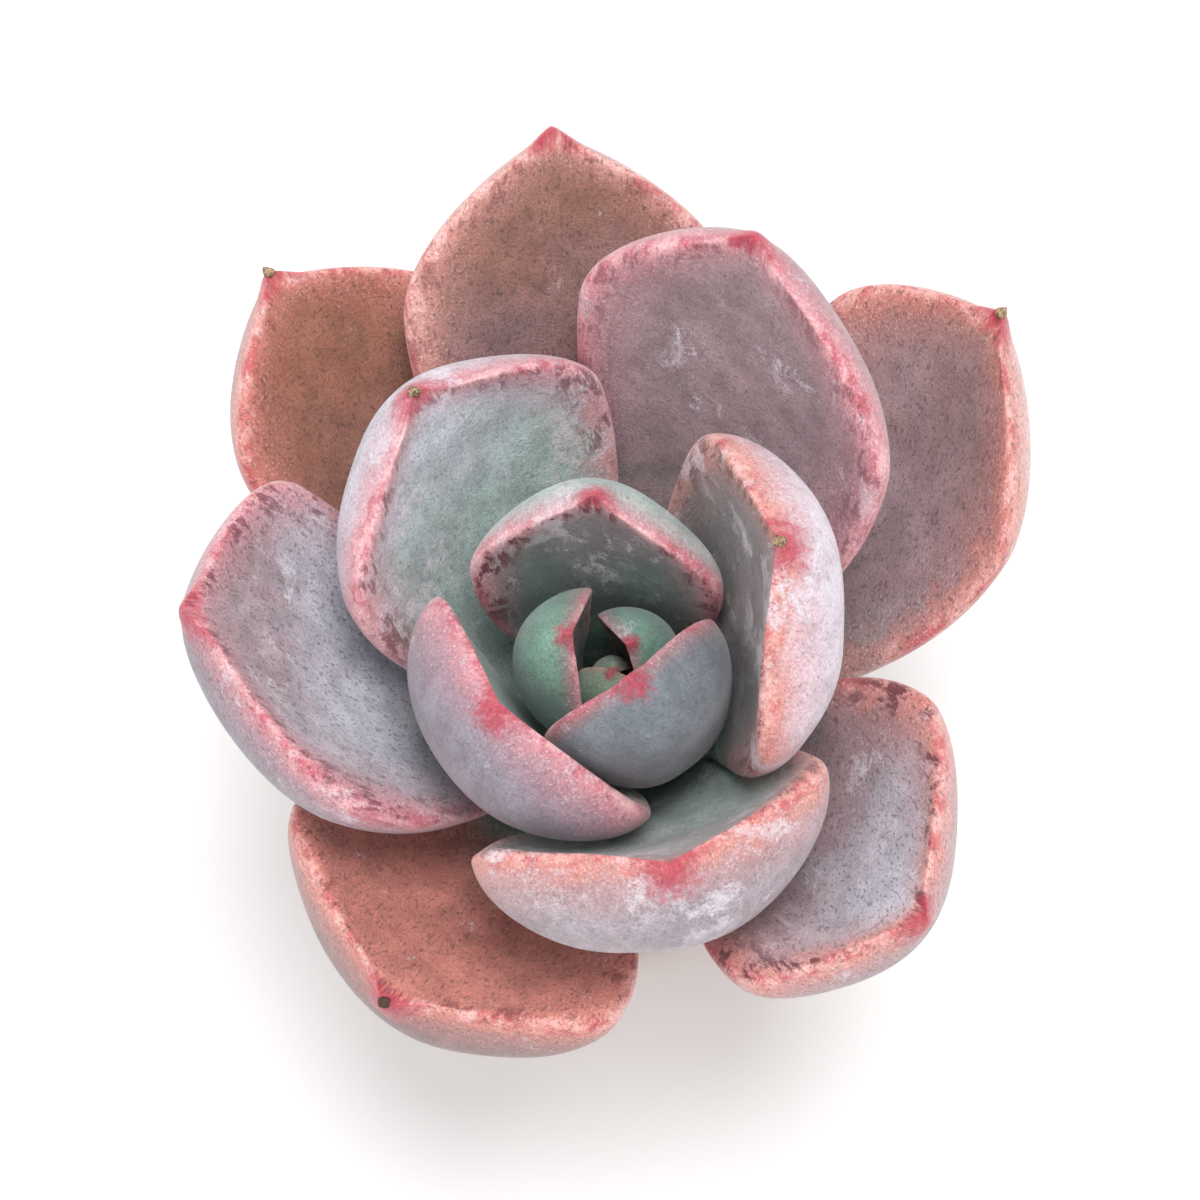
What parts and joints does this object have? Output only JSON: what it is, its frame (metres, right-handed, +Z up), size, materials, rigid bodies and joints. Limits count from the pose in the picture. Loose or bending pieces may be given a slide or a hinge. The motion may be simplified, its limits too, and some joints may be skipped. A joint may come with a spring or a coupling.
{
  "type": "potted succulent",
  "caption": "Potted succulent: a single rosette of thick pointed leaves with coral margins on a short stem, in soil in a small plain clay pot.",
  "frame": {"origin": "centre of the pot's flat base, on the surface that it stands on", "axes": "+Z up along the pot's and the stem's axis, +X to the right and +Y to the back as seen from the front, where the rosette's short leaves are"},
  "size_m": [0.0925, 0.0982, 0.1109],
  "materials": {
    "clay": "unglazed fired clay, matt, faintly mottled",
    "earth": "damp gritty compost, rough",
    "stem_skin": "matt green-brown stem skin",
    "outer_leaf": "powdery terracotta-mauve leaf skin with coral margins",
    "middle_leaf": "powdery lavender-grey leaf skin with coral margins",
    "heart_leaf": "powdery blue-green leaf skin with wine-red tips"
  },
  "bodies": {
    "root": {"pot": "clay", "soil": "earth", "stem": "stem_skin", "leaf_01": "outer_leaf", "leaf_02": "outer_leaf", "leaf_03": "outer_leaf", "leaf_04": "outer_leaf", "leaf_05": "outer_leaf", "leaf_06": "outer_leaf", "leaf_07": "middle_leaf", "leaf_08": "middle_leaf", "leaf_09": "middle_leaf", "leaf_10": "middle_leaf", "leaf_11": "middle_leaf", "leaf_12": "middle_leaf", "leaf_13": "heart_leaf", "leaf_14": "heart_leaf", "leaf_15": "heart_leaf", "leaf_16": "heart_leaf", "leaf_17": "heart_leaf"}
  },
  "joints": []
}
